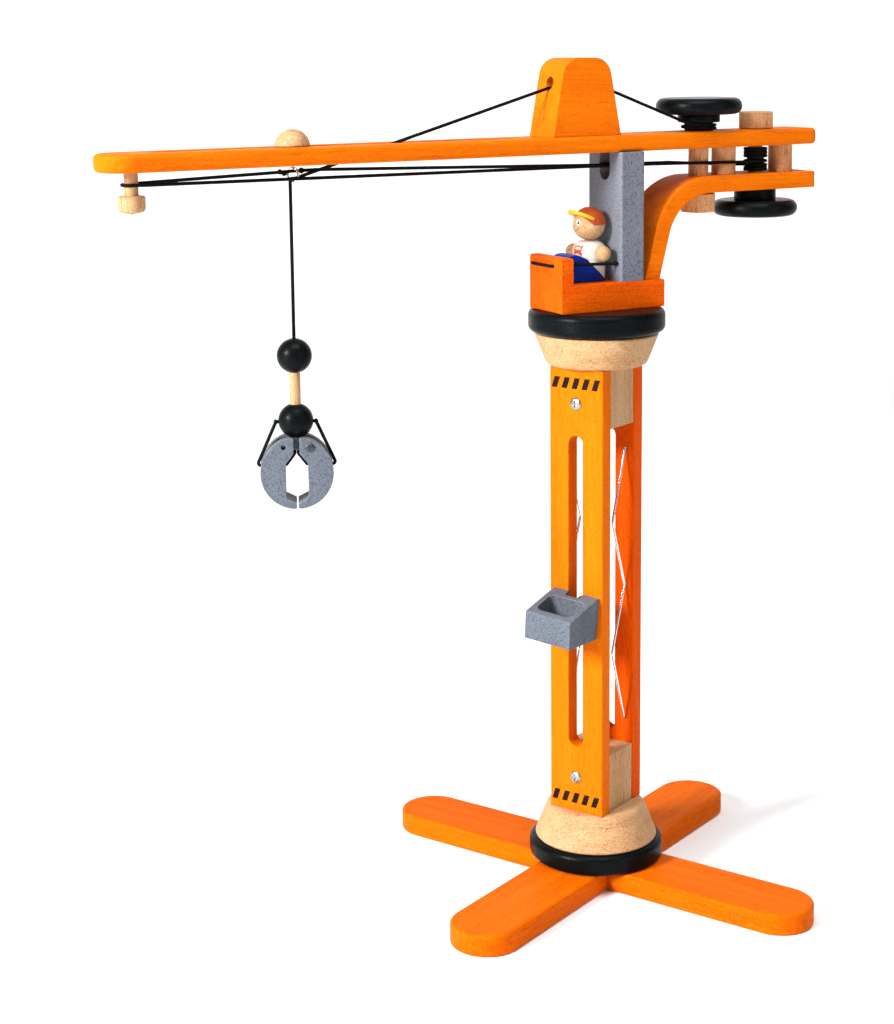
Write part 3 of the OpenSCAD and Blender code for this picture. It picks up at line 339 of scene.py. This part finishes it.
# ---------------------------------------------------------------- cords that run between two parts, drawn as fixed tubes in place of the CAD cords
def make_object(name, verts, faces, material, smooth=True):
    mesh = bpy.data.meshes.new(name)
    mesh.from_pydata([tuple(v) for v in verts], [], faces)
    mesh.materials.append(material)
    mesh.polygons.foreach_set("use_smooth", [smooth] * len(faces))
    mesh.update()
    obj = bpy.data.objects.new(name, mesh)
    scene.collection.objects.link(obj)
    return obj


def rounded_path(points, radius, steps=4):
    """The path with each inner corner replaced by an arc of that radius."""
    out = [points[0]]
    for a, b, c in zip(points, points[1:], points[2:]):
        u, v = (a - b).normalized(), (c - b).normalized()
        half = u.angle(v) / 2
        if half > math.radians(89):
            out.append(b)
            continue
        t = radius / math.tan(half)
        m = b + (u + v).normalized() * radius / math.sin(half)
        p, q = b + u * t - m, b + v * t - m
        sweep = p.angle(q)
        for k in range(steps + 1):
            f = k / steps
            out.append(m + (p * math.sin((1 - f) * sweep) + q * math.sin(f * sweep)) / math.sin(sweep))
    return out + [points[-1]]


def round_points(count):
    """The directions of a circle's points, as (cosine, sine)."""
    return [(math.cos(2 * math.pi * j / count), math.sin(2 * math.pi * j / count)) for j in range(count)]


def tube_shell(path, radii, sides=14):
    """Vertices and faces of a closed tube along path; radii is one radius or one per point."""
    if not isinstance(radii, (list, tuple)):
        radii = [radii] * len(path)
    last = len(path) - 1
    tangents = [(path[min(i + 1, last)] - path[max(i - 1, 0)]).normalized() for i in range(len(path))]
    normal = tangents[0].orthogonal().normalized()
    verts, faces = [], []
    for i, (p, t, r) in enumerate(zip(path, tangents, radii)):
        normal = (normal - t * normal.dot(t)).normalized()
        side = t.cross(normal)
        verts += [p + r * (c * normal + s * side) for c, s in round_points(sides)]
        if i:
            base = (i - 1) * sides
            faces += [(base + j, base + (j + 1) % sides, base + sides + (j + 1) % sides, base + sides + j)
                      for j in range(sides)]
    faces += [tuple(range(sides - 1, -1, -1)), tuple(range(len(verts) - sides, len(verts)))]
    return verts, faces


KNOT_STEPS = [-0.98, -0.85, -0.6, -0.3, 0, 0.3, 0.6, 0.85, 0.98]   # heights of a knot's rings, in its radius


def cord_piece(name, node, paths, knots=()):
    """A visual cord made of tubes and round knots that stands for one CAD cord; lengths in millimetres."""
    verts, faces = [], []
    for path in paths:
        v, f = tube_shell([Vector(p) * MM for p in path], CORD_R)
        faces += [tuple(i + len(verts) for i in g) for g in f]
        verts += v
    for centre, r in knots:
        v, f = tube_shell([(Vector(centre) + Vector((0, 0, k * r))) * MM for k in KNOT_STEPS],
                          [r * MM * math.sqrt(1 - k * k) for k in KNOT_STEPS], 16)
        faces += [tuple(i + len(verts) for i in g) for g in f]
        verts += v
    obj = make_object(name, verts, faces, cord)
    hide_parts(node)
    return obj


def wrap(cx, r, z, a0, a1, n):
    """n + 1 points round a drum at cx, from angle a0 to a1 in degrees."""
    angles = [math.radians(a0 + (a1 - a0) * k / n) for k in range(n + 1)]
    return [Vector((cx + r * math.cos(a), r * math.sin(a), z)) for a in angles]


# places on the crane, in millimetres
R = 1.1                  # radius of every cord
CORD_R = R * MM
EYE_WIRE_R = 0.7
EYE_TURN = 25            # the eye's ring against the jib, in degrees
TROLLEY = -224.3
PASS_Z = 505.6           # where the hoist cord passes through the eye
DROP_X = TROLLEY - (EYE_WIRE_R + R + 0.06) / math.cos(math.radians(EYE_TURN))
DROP_END = 404.3         # the cord's end, inside the upper ball
TIE_Z = 510.1            # knots of the trolley cord
PEAK = (-38.3, 0, 557.1)
TIP = (-328.2, 5.5, 506.4)
V = Vector

front_end = V((TROLLEY + 1.7, 0, PASS_Z))
front = cord_piece("hoist_cord_to_trolley", "hoist_cord_front", [[V(PEAK), front_end]])
V(PEAK) * MM
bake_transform(front)

drop_bend = [V((TROLLEY + 1.5, 0, PASS_Z)), V((DROP_X, 0, PASS_Z - 0.1)), V((DROP_X, 0, PASS_Z - 7))]
drop_path = rounded_path(drop_bend, 1.2) + [V((DROP_X, 0, DROP_END))]
drop = cord_piece("hoist_cord_hanging", "hoist_cord_drop", [drop_path])
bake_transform(drop)

out_path = [V((TROLLEY - 1, -0.3, TIE_Z)), V((TROLLEY - 9, -0.1, TIE_Z - 0.4)), V(TIP)]
out_knots = [((TROLLEY - 6, -0.1, TIE_Z - 1), 1.9), ((TROLLEY - 8.8, 0.1, TIE_Z - 0.2), 1.7)]
out = cord_piece("trolley_cord_outer", "travel_cord_out", [out_path], out_knots)
V(TIP) * MM
V((TROLLEY - 11, 0, TIE_Z)) * MM
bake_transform(out)

# inner strand: tied at the eye, through the post's slot, round the spacer dowel and onto the spool
spool_x, spool_out, far_z = 133, 7.4, 499.9
post_x, post_z = 25.3, 504.4
dowel_x, dowel_out = 105.3, 9.7
z_dowel = far_z + (post_z - far_z) * (spool_x - dowel_x) / (spool_x - post_x)
inner_path = [V((TROLLEY - 0.4, 0.3, TIE_Z)), V((TROLLEY + 18, 3.1, TIE_Z)),
              V((TROLLEY + 26, 3.2, TIE_Z - 0.2)), V((-5.7, 4.6, 504.7)), V((3.3, 4.7, post_z)),
              V((post_x, 4.7, post_z)), V((63.3, 6.9, post_z - 0.5)), V((dowel_x, dowel_out, z_dowel)),
              V((dowel_x + 6, dowel_out - 0.35, z_dowel - 0.2)), V((129, 7.5, far_z))]
inner_path += wrap(spool_x, spool_out, far_z, 92, -190, 24)
inner = cord_piece("trolley_cord_inner", "travel_cord_in", [inner_path], [((TROLLEY + 6.4, 1.4, TIE_Z), 1.9)])
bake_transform(inner)

# closing cords of the grabber, in the hook's own turned frame
HOOK_TURN = -24
BALL_HOLE_Z, JAW_HOLE_Z, CORD_SIDE = 351.8, 323.8, 1.15
HOOK = Matrix.Translation((DROP_X, 0, 0)) @ Matrix.Rotation(math.radians(HOOK_TURN), 4, "Z")
for side, tag, body in ((1, "right", "right_jaw"), (-1, "left", "left_jaw")):
    route = [(0.3 * side, BALL_HOLE_Z), (12.7 * side, BALL_HOLE_Z), (25.2 * side, JAW_HOLE_Z),
             (12 * side, JAW_HOLE_Z), (6.6 * side, 324.0), (CORD_SIDE * side, 331.2),
             (CORD_SIDE * side, 341.7)]
    bent = rounded_path([V((x, 0, z)) for x, z in route], 1.5)
    piece = cord_piece("closing_cord_" + tag, "jaw_cord_" + tag, [[HOOK @ p for p in bent]],
                       [(HOOK @ V((12.7 * side, 0, BALL_HOLE_Z)), 1.5)])
    HOOK @ V((3 * side, 0, 338)) * MM
    HOOK @ V((14 * side, 0, 326)) * MM
    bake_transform(piece)


# ---------------------------------------------------------------- printed details of the driver
def surface(node):
    """A CAD node's skin, to lay printed shapes on."""
    mesh = nodes[node].data
    points = [v.co[:] for v in mesh.vertices]
    return BVHTree.FromPolygons(points, [p.vertices[:] for p in mesh.polygons])


HEAD = V((-6.2, 0, 465.5)) * MM
head_skin, torso_skin = surface("driver_head"), surface("driver_body")


def decal(name, skin, centre, az, el, outline, ink, lift, body, radius=20 * MM):
    """A thin printed patch: outline points (across, up) in millimetres round a direction, laid on a surface.

    az turns from -X towards -Y, el rises, both in degrees from centre."""
    a, e = math.radians(az), math.radians(el)
    face = V((-math.cos(a) * math.cos(e), -math.sin(a) * math.cos(e), math.sin(e)))
    across = V((0, 0, 1)).cross(face).normalized() * -1
    up = face.cross(across).normalized() * (1 if face.cross(across).z > 0 else -1)
    mid = sum((V((x, y)) for x, y in outline), V((0, 0))) / len(outline)
    rings = [[mid + (V(p) - mid) * f for p in outline] for f in (1.0, 0.66, 0.33)]
    flat = [p for ring in rings for p in ring] + [mid]
    verts = []
    for p in flat:
        start = centre + face * radius + across * p.x * MM + up * p.y * MM
        hit, normal, _, _ = skin.ray_cast(start, -face)
        if hit is None:
            hit, normal, _, _ = skin.find_nearest(start - face * radius)
        verts.append(hit + normal * lift * MM)
    n = len(outline)
    faces = [(r * n + i, r * n + (i + 1) % n, (r + 1) * n + (i + 1) % n, (r + 1) * n + i)
             for r in range(2) for i in range(n)]
    faces += [(2 * n + i, 2 * n + (i + 1) % n, 3 * n) for i in range(n)]
    obj = make_object(name, verts, faces, ink)
    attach(obj, body)
    return obj


def oval(rx, ry, n, cx=0.0):
    return [(cx + rx * c, ry * s) for c, s in round_points(n)]


def stroke(points, width):
    """Outline of a line of that width through the points."""
    left, right = [], []
    for i, p in enumerate(points):
        a, b = V(points[max(i - 1, 0)]), V(points[min(i + 1, len(points) - 1)])
        d = (b - a).normalized() * width / 2
        left.append((p[0] - d.y, p[1] + d.x))
        right.append((p[0] + d.y, p[1] - d.x))
    return left, right


def line_decal(name, skin, centre, az, el, points, width, ink, lift, body, radius=20 * MM):
    """A printed line laid on a surface, as a strip of quads."""
    a, e = math.radians(az), math.radians(el)
    face = V((-math.cos(a) * math.cos(e), -math.sin(a) * math.cos(e), math.sin(e)))
    across = V((0, 0, 1)).cross(face).normalized() * -1
    up = V((0, 0, 1)) - face * face.z
    up.normalize()
    left, right = stroke(points, width)
    verts = []
    for x, y in left + right:
        start = centre + face * radius + across * x * MM + up * y * MM
        hit, normal, _, _ = skin.ray_cast(start, -face)
        if hit is None:
            hit, normal, _, _ = skin.find_nearest(start - face * radius)
        verts.append(hit + normal * lift * MM)
    n = len(points)
    obj = make_object(name, verts, [(i, i + 1, n + i + 1, n + i) for i in range(n - 1)], ink)
    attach(obj, body)
    return obj


SIDES = ((1, "near"), (-1, "far"))
EYE_AZ = 16.5
FRECKLES = ((38, -6), (42, -8.5), (45.5, -6.5), (40.5, -12), (46, -11))   # azimuth and elevation, in degrees
for s, tag in SIDES:
    eye = (("white", 8.0, oval(1.55, 2.1, 24), ink_white, 0.05),
           ("iris", 7.2, oval(1.0, 1.3, 20, -0.15 * s), ink_blue, 0.09),
           ("pupil", 7.0, oval(0.8, 1.05, 18, -0.15 * s), ink_dark, 0.12),
           ("glint", 9.2, oval(0.3, 0.36, 12, 0.35 * s), ink_white, 0.15))
    for part, el, outline, ink, lift in eye:
        decal("eye_%s_%s" % (part, tag), head_skin, HEAD, EYE_AZ * s, el, outline, ink, lift, "head")
    for i, (da, de) in enumerate(FRECKLES):
        dot = oval(0.27, 0.27, 10)
        decal("freckle_%s_%d" % (tag, i), head_skin, HEAD, da * s, de, dot, ink_brown, 0.05, "head")
smile_angles = [math.radians(k * 9) for k in range(-8, 9)]
smile = [(3.6 * math.sin(a), -3.05 * math.cos(a) + 2.2) for a in smile_angles]
line_decal("smile", head_skin, HEAD, 0, -16, smile, 0.42, ink_brown, 0.06, "head")

TORSO = V((-6.2, 0, 448.5)) * MM
BIB_AZ = 12.0            # the bib looks a little to the near side, in degrees
bib_low = [(-3.8, -4.4), (3.8, -4.4), (3.8, 0.2), (1.6, 0.4), (0, -0.2), (-1.6, 0.4), (-3.8, 0.2)]
decal("bib", torso_skin, TORSO, BIB_AZ, 0, bib_low, ink_red, 0.09, "upper")
for s, tag in SIDES:
    strap = [(3.3 * s, -0.5), (3.3 * s, 1.0), (3.4 * s, 2.6), (3.5 * s, 4.2)]
    line_decal("bib_strap_" + tag, torso_skin, TORSO, BIB_AZ, 0, strap, 1.0, ink_red, 0.07, "upper")
arch_angles = [math.radians(k * 15) for k in range(-5, 6)]
arch = [(3.0 * math.sin(a), 1.0 + 1.5 * math.cos(a)) for a in arch_angles]
line_decal("bib_arch", torso_skin, TORSO, BIB_AZ, 0, arch, 0.8, ink_red, 0.07, "upper")


# ---------------------------------------------------------------- floor, backdrop and light
def stage_material():
    """Matt white paper with a hardly visible change of tone."""
    t = Tree("pale_floor")
    tone = t.noise(t.mapped((1.5, 1.5, 1.5)), 1.0, 2, 0.5)
    color = t.mix(t.ramp(tone, 0.3, 0.7), rgb(0.88, 0.88, 0.88), rgb(0.90, 0.90, 0.90))
    return t.finish(color, 0.85, t.bump(tone, 0.0001, 0.05))


# one sheet, in metres: floor, quarter-round bend and back wall, turned to face the camera
FLOOR_FRONT, WALL_Y, WALL_TOP, HALF_WIDTH = -3.0, 2.6, 3.0, 4.5
BEND_R, BEND_STEPS = 0.8, 14
SHEET_TURN = -28
SINK = 0.0002            # the sheet lies this far under the feet
bend_angles = [math.pi / 2 * k / BEND_STEPS for k in range(1, BEND_STEPS + 1)]
bend = [(WALL_Y - BEND_R + BEND_R * math.sin(a), BEND_R - BEND_R * math.cos(a)) for a in bend_angles]
profile = [(FLOOR_FRONT, 0.0), (WALL_Y - BEND_R, 0.0)] + bend + [(WALL_Y, WALL_TOP)]
turn = Matrix.Rotation(math.radians(SHEET_TURN), 4, "Z")
sweep_verts = [turn @ V((x, y, z - SINK)) for y, z in profile for x in (-HALF_WIDTH, HALF_WIDTH)]
sweep_faces = [(2 * i, 2 * i + 1, 2 * i + 3, 2 * i + 2) for i in range(len(profile) - 1)]
sweep = make_object("sweep", sweep_verts, sweep_faces, stage_material())

world = bpy.data.worlds.new("world")
world.use_nodes = True
background = world.node_tree.nodes["Background"]
background.inputs["Color"].default_value = (1, 1, 1, 1)
background.inputs["Strength"].default_value = 0.16
scene.world = world


def area(name, place, target, size, power, color=(1, 1, 1)):
    """A soft box at place that looks at target; size in metres, power in watts."""
    data = bpy.data.lights.new(name, "AREA")
    data.shape = "RECTANGLE"
    data.size, data.size_y = size
    data.energy = power
    data.color = color
    lamp = bpy.data.objects.new(name, data)
    scene.collection.objects.link(lamp)
    lamp.location = place
    lamp.rotation_euler = (V(target) - V(place)).to_track_quat("-Z", "Y").to_euler()


area("key", (-2.7, -0.38, 1.42), (0, 0, 0.4), (0.8, 0.8), 205, (1.0, 0.99, 0.97))
area("top", (-0.2, -0.6, 2.5), (0, 0, 0.2), (1.6, 1.4), 56)
area("front", (0.9, -2.6, 1.0), (0, 0, 0.3), (1.4, 1.4), 18)

scene.view_settings.view_transform = "Standard"
scene.view_settings.look = "None"
